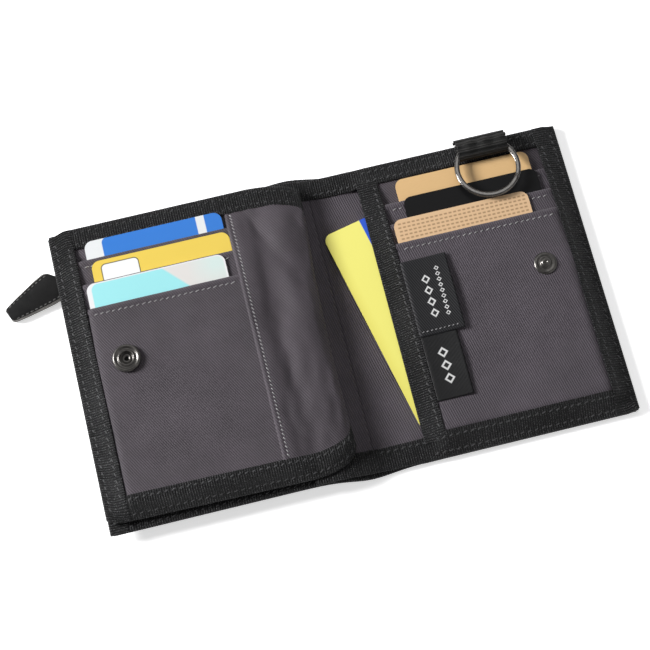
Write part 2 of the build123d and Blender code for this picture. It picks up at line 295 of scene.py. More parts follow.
class Val:
    """A number in a material's nodes, for plain arithmetic."""

    def __init__(self, look, socket):
        self.look, self.socket = look, socket

    def __add__(self, other):
        return self.look.math("ADD", self, other)

    def __mul__(self, other):
        return self.look.math("MULTIPLY", self, other)

    def __sub__(self, other):
        return self.look.math("SUBTRACT", self, other)

    def __rsub__(self, other):
        return self.look.math("SUBTRACT", other, self)

    def __abs__(self):
        return self.look.math("ABSOLUTE", self)

    def ramp(self, low, high):
        """0 below low, 1 above high."""
        n = self.look.node("MapRange", {"Value": self, "From Min": low, "From Max": high}, clamp=True)
        return Val(self.look, n.outputs["Result"])

    def above(self, limit, soft=0.15):
        return self.ramp(limit - soft, limit + soft)

    def below(self, limit, soft=0.15):
        return 1.0 - self.above(limit, soft)


class Look:
    """Builds one procedural material."""

    def __init__(self, name, color, rough, metal=0.0, **more):
        self.mat = bpy.data.materials.new(name)
        self.mat.use_nodes = True
        self.tree = self.mat.node_tree
        self.shader = self.tree.nodes["Principled BSDF"]
        self.mat.diffuse_color = (*color, 1)
        for key, value in dict(Base_Color=color, Roughness=rough, Metallic=metal, **more).items():
            self.put(value, self.shader.inputs[key.replace("_", " ")])

    def put(self, value, socket):
        value = value.socket if isinstance(value, Val) else value
        if isinstance(value, bpy.types.NodeSocket):
            self.tree.links.new(value, socket)
        else:
            socket.default_value = (*value, 1) if socket.type == "RGBA" else value

    def node(self, kind, inputs, **props):
        """A new node, with a constant or another node's output on each of its inputs."""
        n = self.tree.nodes.new("ShaderNode" + kind)
        for key, value in props.items():
            setattr(n, key, value)
        for key, value in inputs.items():
            self.put(value, n.inputs[key])
        return n

    def math(self, op, *values):
        return Val(self, self.node("Math", dict(enumerate(values)), operation=op).outputs[0])

    def split(self, vector):
        outputs = self.node("SeparateXYZ", {0: vector}).outputs
        return vector, *(Val(self, o) for o in outputs)

    def object_xyz(self):
        """Row frame coordinates in millimetres."""
        coords = self.node("TexCoord", {}).outputs["Object"]
        scaled = self.node("VectorMath", {0: coords, "Scale": 1 / MM}, operation="SCALE")
        return self.split(scaled.outputs[0])

    def uv(self):
        return self.split(self.node("TexCoord", {}).outputs["UV"])[:3]

    def noise(self, at, size, detail=2.0, rough=0.5, squeeze=None):
        """Noise between 0 and 1 whose grains are about size millimetres."""
        if squeeze:
            at = self.node("VectorMath", {0: at, 1: squeeze}, operation="MULTIPLY").outputs[0]
        n = self.node("TexNoise", {"Vector": at, "Scale": 1 / size, "Detail": detail, "Roughness": rough})
        return Val(self, n.outputs["Fac"])

    def wave(self, along, pitch, shift=None):
        """A sine wave between 0 and 1 along a coordinate."""
        turn = along * (2 * pi / pitch)
        return self.math("SINE", turn if shift is None else turn + shift) * 0.5 + 0.5

    def blend(self, share, a, b):
        return self.node("Mix", {"Factor": share, 6: a, 7: b}, data_type="RGBA").outputs[2]

    def rough(self, value, low, high):
        n = self.node("MapRange", {"Value": value, "To Min": low, "To Max": high})
        self.put(n.outputs["Result"], self.shader.inputs["Roughness"])

    def surface(self, color, height, depth, *rough):
        """Connects the colour, a bump of a depth in millimetres, and a roughness with its range."""
        self.put(color, self.shader.inputs["Base Color"])
        n = self.node("Bump", {"Distance": depth * MM, "Strength": 1.0, "Height": height})
        self.put(n.outputs[0], self.shader.inputs["Normal"])
        if rough:
            self.rough(*rough)
        return self.mat


def twill(name, dark, light, angle, pitch=0.8, depth=0.09, sheen=0.1):
    """A smooth nylon twill: fine diagonal ribs, faint cross threads and a soft unevenness."""
    look = Look(name, light, 0.58, Sheen_Weight=sheen, Sheen_Roughness=0.4, Specular_IOR_Level=0.3)
    at, x, y, _ = look.object_xyz()
    a = radians(angle)
    ribs = look.wave(x * cos(a) + y * sin(a), pitch, look.noise(at, 3.0) * 2.2)
    threads = look.wave(y * cos(a) - x * sin(a), 0.42, look.noise(at, 0.8) * 5.0)
    grain = look.noise(at, 0.35, 2, 0.7)
    patch = look.noise(at, 14.0, 3, 0.55)
    share = patch * 0.45 + (ribs * 0.42 + grain * 0.5 - 0.12)
    height = grain * 0.5 + (threads * 0.35 + ribs)
    tone = look.blend(share.ramp(0.05, 0.95), dark, light)
    return look.surface(tone, height, depth, ribs * 0.4 + patch, 0.46, 0.66)


def ribbed(name, dark, light, glint, pitch=RIB, depth=0.12):
    """A ribbed tape: threads that run along it over cross ribs, with a painted highlight: glints painted
    into its colour as pale flecks.
    """
    look = Look(name, dark, 0.6, Sheen_Weight=0.03, Sheen_Roughness=0.4, Specular_IOR_Level=0.19)
    at, u, v = look.uv()
    place = look.object_xyz()[0]
    ribs = look.wave(u, pitch, look.noise(at, 2.5) * 1.2)
    threads = look.wave(v, 0.36, look.noise(at, 0.7) * 4.0)
    fleck = look.noise(place, 0.28, 3, 0.75)
    tone = look.blend((ribs * (look.noise(place, 6.0) + 0.4)).ramp(0.15, 1.0), dark, light)
    # painted highlight: where the flecks meet the ribs and threads, the colour turns to the pale glint
    # colour
    painted_glint = fleck.ramp(0.54, 0.68) * (ribs * threads)
    tone = look.blend(painted_glint, tone, (glint, glint, glint * 1.02))
    return look.surface(tone, fleck * 0.6 + (threads * 0.45 + ribs), depth, fleck, 0.42, 0.75)


def thread(name, dark, light):
    look = Look(name, light, 0.55, Sheen_Weight=0.2)
    at, x, y, z = look.object_xyz()
    strand = look.wave(x + y + z, 0.45)
    share = (look.noise(at, 1.6) * 0.7 + strand * 0.4).ramp(0.2, 0.8)
    return look.surface(look.blend(share, dark, light), strand, 0.05)


def metal(name, dark, light, rough=(0.22, 0.42)):
    look = Look(name, light, 0.3, 1.0)
    at = look.object_xyz()[0]
    cloud = look.noise(at, 1.2, 3, 0.6)
    scratch = look.noise(at, 0.25, 2, 0.6, squeeze=(0.2, 2.0, 1.0))
    return look.surface(look.blend(cloud, dark, light), scratch, 0.01, scratch * 0.5 + cloud * 0.5, *rough)


def leather(name, dark, light):
    look = Look(name, dark, 0.42, Specular_IOR_Level=0.24, Coat_Weight=0.02, Coat_Roughness=0.3)
    at = look.object_xyz()[0]
    cells = look.node("TexVoronoi", {"Vector": at, "Scale": 2.6}, feature="DISTANCE_TO_EDGE")
    grain = Val(look, cells.outputs["Distance"]).ramp(0.0, 0.25)
    cloud = look.noise(at, 5.0, 3)
    return look.surface(look.blend(grain * cloud, dark, light), look.noise(at, 0.3) * 0.5 + grain, 0.022,
                        cloud * 0.7 + grain * -0.2, 0.3, 0.6)


LINING = twill("lining_twill", (0.008, 0.0066, 0.008), (0.098, 0.082, 0.098), 31)
LINING_STEEP = twill("lining_twill_steep", (0.014, 0.0116, 0.0145), (0.112, 0.095, 0.114), 14, 0.85, 0.12)
NYLON = twill("outer_nylon", (0.006, 0.006, 0.007), (0.03, 0.03, 0.033), 90, 0.5, 0.07, 0.15)
BINDING = ribbed("binding_tape", (0.0022, 0.0022, 0.0025), (0.0095, 0.0095, 0.0105), 0.45, depth=0.2)
WEBBING = ribbed("webbing", (0.004, 0.004, 0.004), (0.03, 0.029, 0.028), 0.08, 0.85)
ZIP_TAPE = ribbed("zipper_tape", (0.005, 0.005, 0.006), (0.022, 0.022, 0.024), 0.03, 0.55)
THREAD_DARK = thread("thread_dark", (0.006, 0.006, 0.007), (0.05, 0.05, 0.054))
# a brownish thread look for the rod along the roll's folded edge, a painted highlight
FOLD_EDGE_HIGHLIGHT = thread("rim", (0.035, 0.028, 0.02), (0.1, 0.08, 0.06))
THREAD_MID = thread("thread_mid", (0.03, 0.03, 0.03), (0.16, 0.155, 0.15))
THREAD_PALE = thread("thread_pale", (0.09, 0.088, 0.09), (0.42, 0.41, 0.42))
GUNMETAL = metal("snap_gunmetal", (0.06, 0.057, 0.054), (0.2, 0.19, 0.18))
NICKEL = metal("ring_nickel", (0.09, 0.086, 0.083), (0.24, 0.23, 0.22), (0.12, 0.24))
# painted shade: a near-black metal for the disc that stands for the dark bore of the snap socket
SHADOW = metal("snap_bore_painted_shade", (0.004, 0.004, 0.004), (0.012, 0.012, 0.011), (0.5, 0.7))
ZIP_METAL = metal("zipper_metal", (0.06, 0.058, 0.056), (0.2, 0.195, 0.19))
LEATHER = leather("pull_leather", (0.0022, 0.0022, 0.0024), (0.0075, 0.0072, 0.0072))
LEATHER_EDGE = leather("pull_leather_edge", (0.1, 0.095, 0.088), (0.3, 0.29, 0.27))


# --- shapes of the two halves ---
def stack_height(faces, behind, y_end):
    """Height of the topmost cloth away from the edges, as a function of y."""
    levels = [faces[2][1][2] - 0.45, faces[1][1][2], faces[0][1][2], behind]
    edges = [faces[2][1][1] - 1, faces[1][1][1], faces[0][1][1], y_end]
    return lambda y: np.interp(y, edges, levels)


left_full = stack_height(LEFT_FACES, PAGE_Z - 0.15, 51.0)
right_full = stack_height(RIGHT_FACES, PANEL_Z - 0.1, 52.0)


def bezier(t, a, b, c, d):
    return (1 - t) ** 3 * a + 3 * (1 - t) ** 2 * t * b + 3 * (1 - t) * t * t * c + t ** 3 * d


def page_env(u, v, creased=True):
    """The page's topmost surface. u runs from the outer edge to the roll, v up the page."""
    u, v = np.broadcast_arrays(np.asarray(u, float), np.asarray(v, float))
    bottom = PAGE_SHORT + 1.5 * (1 - u / PAGE_U) + 12 * np.clip((u - 77) / 20, 0, 2) ** 2.4
    bottom = bottom + 1.6 * (1 - smooth(u / 6))
    top = -6.5 * np.clip((u - 78) / 19, 0, 2) ** 1.9 - 2.0 * (1 - smooth(u / 7))
    y = v + bottom * (1 - smooth((v + TOP) / 52)) + top * smooth((v - 8) / 52)
    near = smooth((u - 0.5) / 11) * smooth((v + TOP - 0.3) / 5.6) * smooth((TOP + 1 - v) / 9)
    fall = 1 - 0.4 * smooth((u - 69.5) / 12.5)
    base = PAGE_Z - 0.2
    z = base + (left_full(v) + 0.05 - base) * near * fall
    # the roll curls over and down to its end
    t = np.clip((u - ROLL_U) / (PAGE_U - ROLL_U), 0, 1.2)
    x0 = -HALF + ROLL_U
    lift = 0.5 + 0.7 * smooth((30 - np.abs(v)) / 40)
    nose = ROLL_X + 1.8 + 1.7 * smooth((v + 20) / 70) + 1.4 * smooth((v - 15) / 40)
    x = np.where(u > ROLL_U, bezier(t, x0, x0 + 8, nose + 2.2, nose - 0.6), -HALF + u)
    z = np.where(u > ROLL_U, bezier(t, z, z + lift, z - 0.7, ROLL_END_Z), z)
    if creased:
        soft = smooth((u - 3) / 10) * smooth((v + TOP - 4) / 10) * smooth((TOP - 4 - v) / 10)
        flap = smooth((u - 71) / 5) * smooth((PAGE_U + 4 - u) / 8)
        folds = 0.55 * hump(u - 86 + 0.02 * v, 3.4) - 0.5 * hump(u - 79 - 0.05 * (v - 20), 2.8)
        tug = 0.5 * hump(u - 82 + 0.35 * (v - 34), 1.8) * smooth((v - 12) / 14)
        fine = (0.28 * ripple(u, v * 0.35, 9, 11) + 0.14 * ripple(u, v, 7, 5, 0.6, 0.5)
                + 0.16 * ripple(u, v * 0.25, 4.2, 17))
        z = z + soft * (0.16 * ripple(u, v, 26, 3) + flap * (fine + folds * smooth((v + 45) / 50) - tug))
    return xyz(x, y, z)


def left_xy(x, y):
    """The page's surface by X instead of along the cloth."""
    return page_env(x + HALF, y)


def arc_z(x):
    """Middle surface of the spine, from flat on the right to the left half's height."""
    radius, ease_x, ease_long = 36.32, -3.5, 11.5
    x = np.asarray(x, float)
    s = np.clip((FOLD_R[0] - x) / radius, 0, 0.9)
    curve = FOLD_R[1] + radius * (1 - np.sqrt(1 - s * s))
    t = np.clip((ease_x - x) / ease_long, 0, 1)
    z0, z1, slope = 2.87, FOLD_L[1], 0.37 * ease_long
    eased = ((2 * t ** 3 - 3 * t ** 2 + 1) * z0 + (t ** 3 - 2 * t ** 2 + t) * slope
             + (3 * t ** 2 - 2 * t ** 3) * z1)
    return np.where(x > ease_x, curve, eased)


def right_env(x, y, creased=True):
    """The right half's topmost surface at and right of the card panel's edge."""
    x, y = np.broadcast_arrays(np.asarray(x, float), np.asarray(y, float))
    corner = 1.2 * (1 - smooth((HALF - x) / 5)) * smooth((np.abs(y) - 50) / 10)
    near_y = smooth((TOP - 0.5 - np.abs(y)) / 9.5)
    near_x = smooth((HALF - 0.5 - x) / 11)
    left = mix(PANEL_Z - 0.05, right_full(y), smooth((x - PANEL_X - 0.5) / 8.6))
    z = EDGE_Z + (left - EDGE_Z) * near_x * near_y
    if creased:
        soft = smooth((x - 28) / 8) * smooth((HALF - 6 - x) / 9) * near_y
        z = z + soft * (0.14 * ripple(x, y, 28, 21) + 0.05 * ripple(x, y, 11, 22))
    return xyz(x, y - np.sign(y) * corner, z)


def gutter_env(x, y):
    """The inner lining across the spine. Its top and bottom edges lift off the outer cloth."""
    x, y = np.broadcast_arrays(np.asarray(x, float), np.asarray(y, float))
    lift = 1.15 * smooth((np.abs(y) - 49) / 7) * smooth((21 - x) / 8)
    soft = smooth((52 - np.abs(y)) / 12) * smooth((3.5 - x) / 8)
    return xyz(x, y, arc_z(x) + 0.62 + lift + 0.12 * soft * ripple(x, y * 0.4, 12, 31))


def edge_env(x, d, side):
    """The surface d inside the top or bottom edge, from the gutter to the right edge."""
    y = side * (TOP - d)
    out = gutter_env(x, y)
    stack = right_env(np.maximum(x, PANEL_X), y, False)
    out[..., 1:] = mix(out[..., 1:], stack[..., 1:], smooth((x - 12) / 14)[..., None])
    return out


def shell_env(x, y):
    """Top of the outer cloth from the left edge to the middle of the spine."""
    z = arc_z(np.maximum(x, -15)) + 0.25
    sag = smooth((x + 24) / 12) * smooth((16 - x) / 10) * smooth((np.abs(y) - 48) / 10)
    bulge = 1.6 * hump(x + 4, 11) * smooth((np.abs(y) - 40) / 20)
    return xyz(x, y + np.sign(y) * bulge, z - 0.35 * sag)


# --- tape and stitches along an edge ---
def line_on(place, s, d):
    """Points along a surface at a reach d inside its edge, their upward normals and the way inward."""
    at = place(s, np.full_like(s, d))
    inward = place(s, np.full_like(s, d + 0.4)) - at
    nor = unit(np.cross(np.gradient(at, axis=0), inward))
    return at, nor * np.sign(nor[:, 2:3] + 1e-6), unit(inward)


def binding(name, place, low, s0, s1, wide, under=5.0, over=0.0):
    """Ribbed tape folded round an edge. place(s, d) is the surface d inside the edge, s along it.
    low(s, d) is the underside of what the tape holds."""
    s = np.linspace(s0, s1, int((s1 - s0) / (RIB / 4)))
    # round the section: top, underside or bend, the reach inside the edge or angle, and the height
    profile = [("top", wide, 0.02), ("top", wide, 0.30), ("top", wide - 0.25, TAPE + 0.02),
               ("top", wide - 0.9, TAPE + 0.07)]
    profile += [("top", d, TAPE + 0.03 + 0.07 * sin(pi * d / wide))
                for d in np.linspace(wide - 2, 1.0, 7)]
    profile += [("bend", a, 0) for a in (75, 45, 15, -15, -45, -75)]
    profile += [("low", 1.0, TAPE + 0.02), ("low", under * 0.5, TAPE + 0.05), ("low", under - 0.5, TAPE),
                ("low", under, TAPE * 0.6), ("low", under, 0.0), ("low", 0.9, -0.02), ("top", 0.9, -0.02)]
    surface = cache(lambda f, d: line_on(f, s, d))
    rib = 0.05 * np.cos(2 * pi * s / RIB)[:, None]
    rings = []
    for kind, d, high in profile:
        if kind == "bend":
            top_at, nor, inward = surface(place, 0.6)
            low_at = surface(low, 0.6)[0]
            tall = np.linalg.norm(top_at - low_at, axis=1, keepdims=True) / 2 + TAPE + over
            out = cos(radians(d)) * (np.minimum(tall, 0.95) + rib * 0.6)
            up = sin(radians(d)) * (tall + rib * 0.6)
            rings.append((top_at + low_at) / 2 - inward * out + nor * up)
        else:
            at, nor, _ = surface(place if kind == "top" else low, d)
            sign, more = (1, over) if kind == "top" else (-1, 0)
            rings.append(at + sign * nor * (high + (more + rib if high > 0.2 else 0)))
    rings = np.stack(rings, 1)
    return loft(name, rings, BINDING, pairs(lengths(rings[:, 8]), lengths(rings[len(s) // 2])))


def sew(name, place, d, s0, s1, lift, look=THREAD_DARK, *size):
    """Stitches on a surface, d inside its edge."""
    at, nor, _ = line_on(place, np.linspace(s0, s1, 200), d)
    return stitches(name, at + nor * lift, nor, look, *size)


def keep(obj, body, *nodes, slot=None):
    """Rides on a body; for a bend it only keeps its place. Hides the CAD nodes that it stands for."""
    if body in BENDS:
        one, other, low_x, high_x, z = BENDS[body]
        row(low_x, 0, z)
        row(high_x, 0, z)
        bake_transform(obj)
    else:
        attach(obj, body)
    if nodes:
        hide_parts(*nodes)
    return obj


def cloth(name, top, thick, look, size, body, *nodes, on=(), held="stretched"):
    """A sheet on a body, standing for CAD nodes. Its flat size and the tapes or rows of stitches that lie on
    it are not used.
    """
    piece = keep(sheet(name, top, thick, look), body, *nodes)
    size[0] * MM
    size[1] * MM


# --- left half: page, pockets, bindings ---
def build_page():
    # plain lining behind the cards
    u, v = grid(1.0, 74.0, -56.5, 59.4, 1.6)
    base = page_env(u, v, False)
    base[..., 2] = np.minimum(base[..., 2] - 0.5, PAGE_Z - 0.1) + 0.06 * ripple(u, v, 15, 8)
    cloth("page_lining_back", base, CLOTH, LINING, (73, 116), "left_half", "page_lining",
          on=["page_binding_side_tape"])

    # the flap between the pockets and the rolled edge, folded under at its sewn edge
    fold_u = SEAM_X + HALF
    u, v = grid(fold_u, PAGE_U, -59.6, 59.6, 0.7)
    top = page_env(u, v)
    fold = 0.32 * np.sqrt(np.clip((u - fold_u) / 0.9, 0, 1))
    seam = 0.22 * hump(u - fold_u - 2.3, 0.5)
    puff = 0.16 * hump(u - fold_u - 1.1, 0.7)
    top = top + normals(top) * (fold + puff - seam)[..., None]
    cloth("page_flap", top, CLOTH, LINING, (PAGE_U - fold_u, 119.2), "left_half",
          on=["page_binding_top_tape", "page_binding_bottom_tape"])

    # a painted highlight along the roll's folded edge: a thin brownish rod
    at, nor, _ = line_on(lambda s, d: page_env(PAGE_U - 1.5 + 0.3 * d, s), np.linspace(-40, 47, 120), 0.0)
    q = circle(8)[:, None]
    ring = np.cos(q) * nor[:, None] + np.sin(q) * np.array([1.0, 0, 0])
    rim = loft("page_flap_painted_highlight", (at + nor * 0.2)[:, None] + 0.26 * ring, FOLD_EDGE_HIGHLIGHT)
    keep(rim, "left_half")

    seam = sew("page_seam_stitches", lambda s, d: page_env(fold_u + d, s), 2.3, -50.5, 51.5, 0.32,
               THREAD_PALE, 1.6, 1.5, 0.4, 0.3, 0.6)
    keep(seam, "left_half")


def build_face(side, order, face, x0, x1, env, look):
    """One pocket's face, from under the bottom tape to its folded opening edge."""
    edge, bottom = face[1][1], -TOP + 2.5
    full = face[1][2] - (0.45 if order == 2 else 0.0)
    x, y = grid(x0, x1, bottom, edge, 0.9)
    top = env(x, y)
    # lower pockets are capped at their own level under the ones in front
    top[..., 2] = np.minimum(top[..., 2], full + 0.02 * order) - 0.10 * (2 - order)
    d = edge - y
    hem = smooth((HEM + 0.25 - d) / 0.35) * 0.2
    dip = 0.16 * hump(d - HEM_ROW, 0.4)
    pucker = 0.06 * hump(d - HEM, 1.8) * np.sin(2 * pi * x / 3.4)
    round_off = 0.22 * np.clip(1 - d / 0.5, 0, 1) ** 2
    top[..., 2] += hem - dip + pucker - round_off + 0.08 * ripple(x, y, 13, 40 + order)
    if order == 2:
        # the snap holds the front pocket's cloth up round itself
        cx, cy, _ = sum(SOCKET if side == "left" else STUD) / 2
        near = np.exp(-((x - cx) ** 2 + (y - cy) ** 2) / 130)
        top[..., 2] = mix(top[..., 2], full + 0.42, near)
    name = "%s_pocket_face_%d" % (side, order + 1)
    row_name = name.replace("face", "stitches")
    cloth(name, top, CLOTH, look, (x1 - x0, edge - bottom), side + "_half",
          "%s_card_pocket_%d" % (side, order + 1), on=[row_name])
    at = int(np.argmin(np.abs(y[0] - (edge - HEM_ROW))))
    line = top[5:-5, at] + np.array([0, 0, 0.1])
    keep(stitches(row_name, line, UP, THREAD_PALE, 2.3, 1.75, 0.42, 0.32, 0.35), side + "_half")


def build_left_bindings():
    thin = 0.75     # the page and its hem, inside the tape

    top_edge, bottom_edge, side_edge = (lambda s, d: page_env(s, TOP - d, False),
                                        lambda s, d: page_env(s, -TOP + d, False),
                                        lambda s, d: page_env(d, s, False))

    def below(place):
        def low(s, d):
            at = place(s, d)
            flat = np.minimum(at[..., 2], place(s, np.zeros_like(d))[..., 2] + 0.15)
            at[..., 2] = np.where(s > ROLL_U, at[..., 2], flat) - thin
            return at
        return low

    for name, place, s0, s1, wide, over in (("top", top_edge, 1.0, PAGE_U + 1, 8.2, 0.0),
                                            ("bottom", bottom_edge, 1.0, PAGE_U + 1, 9.0, 0.0),
                                            ("side", side_edge, -59.9, 59.9, 9.0, 0.22)):
        tape = binding("page_binding_%s_tape" % name, place, below(place), s0, s1, wide, over=over)
        keep(tape, "left_half", "page_binding_" + name)
    rows = [("top_outer", top_edge, 1.9, 4, 94, -0.08), ("top_inner", top_edge, 6.4, 9, 92, -0.08),
            ("bottom_outer", bottom_edge, 2.3, 4, 94, 0.03),
            ("bottom_inner", bottom_edge, 7.2, 9, 92, 0.03),
            ("side_outer", side_edge, 2.2, -57, 57, 0.24), ("side_inner", side_edge, 7.0, -52, 53, 0.24)]
    for name, place, d, s0, s1, lift in rows:
        keep(sew("page_stitches_" + name, place, d, s0, s1, TAPE + lift), "left_half")


# --- right half and gutter ---
def build_right_cloth():
    # outer cloth: the right half with its belly, and its half of the spine
    wide = HALF - 0.6
    x, y = grid(0.0, wide, -59.4, 59.4, 1.5)
    z = np.where(x < 14, arc_z(x) - 0.3, 0.4)
    belly = smooth((x - 12) / 9) * smooth((HALF - 6 - x) / 6) * smooth((54 - np.abs(y)) / 6)
    z = z - 0.4 * belly + 0.03 * (1 - belly) * ripple(x, y, 20, 61) + SHELL
    cloth("outer_cloth_right", xyz(x, y, z), SHELL, NYLON, (wide, 118.8), "right_bend",
          "shell_right", "spine_strip", held="laid")

    x, y = grid(0.0, wide, -59.2, 59.2, 1.0)
    lining = gutter_env(x, y)
    lining[..., 2] = mix(lining[..., 2], 1.3, smooth((x - 22) / 8))
    cloth("note_lining_right", lining, CLOTH, LINING_STEEP, (wide, 118.4), "right_bend",
          "right_lining", "gutter_lining", held="laid")

    lining = gutter_env(*grid(-30.0, 0.0, -59.2, 59.2, 1.0))
    lining[..., 2] = np.minimum(lining[..., 2], 6.25)
    cloth("note_lining_left", lining, CLOTH, LINING_STEEP, (30, 118.4), "left_bend", held="laid")

    # back of the card panel
    x, y = grid(PANEL_X + 0.8, HALF - 1.0, -57.5, 58.6, 1.4)
    top = right_env(x, y, False)
    top[..., 2] = np.minimum(top[..., 2] - 0.35, PANEL_Z) + 0.05 * ripple(x, y, 12, 71)
    cloth("card_panel_lining", top, CLOTH, LINING, (HALF - 1.8 - PANEL_X, 116.1), "right_half",
          "card_panel_back")


def build_right_bindings():
    low_z = 0.45    # underside of the outer cloth's edge
    for name, side, wide in (("top", 1, 8.2), ("bottom", -1, 9.0)):
        def place(s, d, side=side):
            return edge_env(s, d, side)

        def low(s, d, side=side):
            y = side * (TOP - d)
            return xyz(s, y, mix(gutter_env(s, y)[..., 2] - 0.35, low_z, smooth((s - 12) / 12)))

        tape = binding("binding_%s_tape" % name, place, low, 0.0, HALF - 0.3, wide, 6.0)
        keep(tape, "right_bend", "binding_right_" + name, "spine_binding_" + name)
        tape = binding("gutter_binding_%s_tape" % name, place, low, -24.0, 0.0, wide, 6.0)
        keep(tape, "left_bend")
        for kind, d, first in (("outer", 2.2, 22), ("inner", wide - 1.9, 1.5)):
            obj = sew("stitches_%s_%s" % (name, kind), place, d, first, HALF - 3, TAPE + 0.03)
            keep(obj, "right_bend")

    def side_place(s, d):
        return right_env(HALF - d, s, False)

    tape = binding("binding_side_tape", side_place, lambda s, d: xyz(HALF - d, s, low_z),
                   -59.9, 59.9, 9.0, over=0.25)
    keep(tape, "right_half", "binding_right_side")
    for kind, d, reach in (("outer", 2.2, 57), ("inner", 7.0, 52)):
        obj = sew("stitches_side_" + kind, side_place, d, -reach, reach, TAPE + 0.28)
        keep(obj, "right_half")

    def panel_place(s, d):
        return right_env(PANEL_X + d, s, False)

    tape = binding("card_panel_tape", panel_place, lambda s, d: xyz(PANEL_X + d, s, PANEL_Z - 0.35),
                   -53.5, 53.8, 8.3)
    keep(tape, "right_half", "card_panel_binding")
    keep(sew("stitches_panel", panel_place, 6.6, -50, 51, TAPE + 0.03), "right_half")


# --- outer cloth of the left half and the coin pocket under it ---
def build_left_shell():
    x, y = grid(-HALF + 0.6, 0.0, -59.4, 59.4, 1.4)
    top = shell_env(x, y)
    top[..., 2] += 0.04 * ripple(x, y, 22, 81)
    cloth("outer_cloth_left", top, SHELL, NYLON, (HALF - 0.6, 118.8), "left_bend", "shell_left",
          held="laid")

    def under(place):
        return lambda s, d: place(s, d) - np.array([0, 0, 0.55])

    for name, side in (("top", 1), ("bottom", -1)):
        def place(s, d, side=side):
            return shell_env(s, side * (TOP - d))
        tape = binding("shell_%s_tape" % name, place, under(place), -HALF + 1, 0.0, 7.0, 3.0)
        keep(tape, "left_bend", "shell_binding_" + name)
        tape = binding("shell_spine_%s_tape" % name, place, under(place), 0.0, 19.0, 7.0, 3.0)
        keep(tape, "right_bend")
        keep(sew("shell_stitches_" + name, place, 2.0, -HALF + 4, -1, TAPE), "left_bend")

    def side_place(s, d):
        return shell_env(-HALF + d, s)
    tape = binding("shell_side_tape", side_place, under(side_place), -59.8, 59.8, 7.0, 2.2, 0.15)
    keep(tape, "left_half", "shell_binding_side")

    # gusset of the note compartment, between the outer cloth's edge and the page's
    t = np.linspace(0, 1, 7)
    z = mix(span("shell_left")[1][2] + 0.3, PAGE_Z - 0.75, t)
    inward = 0.8 * np.sin(pi * t)
    y = np.linspace(-56, 57, 60)[:, None]
    x = np.linspace(-HALF + 2.2, -15, 60)[:, None]
    for name, points in (("side", xyz(-HALF + 2.2 + inward, y, z)),
                         ("bottom", xyz(x, -56.0 + inward, z))):
        keep(sheet("gusset_" + name, points, 0.3, NYLON), "left_half", "note_gusset_" + name)


def puffed(edge):
    """Rises like a cushion from 0 at a seam to 1."""
    return np.sqrt(1 - (1 - np.clip(edge, 0, 1)) ** 2)


def build_coin_pocket():
    flat = 3.3      # height of the pocket's upper part over the table
    (x0, y0, _), (x1, y1, top_z) = span("coin_pocket_face")
    x, y = grid(x0, x1, y0, y1, 1.0)
    edge = np.minimum(np.minimum(x - x0, x1 - x), y - y0) / 7.5
    deep = mix(0.0, flat, smooth((y - 10) / 8))
    creases = 0.5 * smooth(edge) * smooth((y - 4) / 14) * ripple(x, y, 15, 91, 1.3, 0.9)
    soft = 0.22 * smooth((1.2 - edge) / 1.2) * smooth(edge * 3) * ripple(x, y, 12, 92)
    z = top_z + (deep - top_z) * puffed(edge) + creases + soft
    z = np.maximum(z, np.where(y < 12, 0.02, 1.0))
    cloth("coin_pocket_cloth", xyz(x, y, z)[:, ::-1], COIN_CLOTH, NYLON,
          ((x1 - x0) * 1.05, (y1 - y0) * 1.08), "left_half", "coin_pocket_face")

    low, high = span("coin_pocket_top_face")
    x, y = grid(low[0], high[0], low[1], high[1], 1.0)
    edge = np.minimum(np.minimum(x - x0, x1 - x), high[1] - y) / 4.0
    points = xyz(x, y, top_z + (flat - top_z) * puffed(edge))
    cloth("coin_pocket_upper_cloth", points[:, ::-1], COIN_CLOTH, NYLON, ((x1 - x0) * 1.03, 10.5),
          "left_half", "coin_pocket_top_face")

    low, high = span("coin_pocket_back")
    x, y = grid(low[0] + 0.5, high[0] - 0.5, low[1] + 0.5, high[1] - 0.5, 2.0)
    cloth("coin_pocket_lining", xyz(x, y, high[2] - 0.02), 0.16, LINING, (high - low)[:2], "left_half",
          "coin_pocket_back")


def repaint(node, look):
    """Gives a CAD node that stays visible its look."""
    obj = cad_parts[node]
    obj.data.materials.clear()
    obj.data.materials.append(look)
    return obj


def build_zipper():
    for name, sign in (("upper", 1), ("lower", -1)):
        low, high = span("zipper_tape_" + name)
        x, y = grid(low[0], high[0], low[1], high[1], 0.8)
        z = low[2] + 0.04 - 0.12 * hump(y - (low[1] if sign > 0 else high[1]), 0.7)
        uv = np.stack([x, y], -1)[:, ::-1]
        tape = sheet("zip_tape_" + name, xyz(x, y, z)[:, ::-1], 0.26, ZIP_TAPE, uv)
        keep(tape, "left_half", "zipper_tape_" + name)
        # coil of small teeth, each a bent bead over the tape's edge
        low, high = span("zipper_coil_" + name)
        (_, mid_y, mid_z), (_, half_y, half_z) = (low + high) / 2, (high - low) / 2
        pitch, ring = 1.3, circle(10)
        points, faces = [], []
        for k in range(int((high[0] - low[0]) / pitch)):
            tooth_x = low[0] + (k + (0.75 if sign > 0 else 0.25)) * pitch
            for t in np.linspace(-1, 1, 7):
                fat = (1.0 if abs(t) < 0.9 else 0.6) * (1.25 if t * sign < -0.5 else 1.0)
                points.append(xyz(tooth_x + fat * 0.36 * np.cos(ring), mid_y + t * half_y,
                                  mid_z + fat * half_z * 0.72 * np.sin(ring)))
            faces += tube(7, 10, 70 * k)
        teeth = fix_normals(mesh("zip_teeth_" + name, np.concatenate(points), faces, ZIP_METAL))
        keep(teeth, "left_half", "zipper_coil_" + name)
    for node in ("zipper_stops", "zipper_slider", "pull_bail"):
        repaint(node, ZIP_METAL)


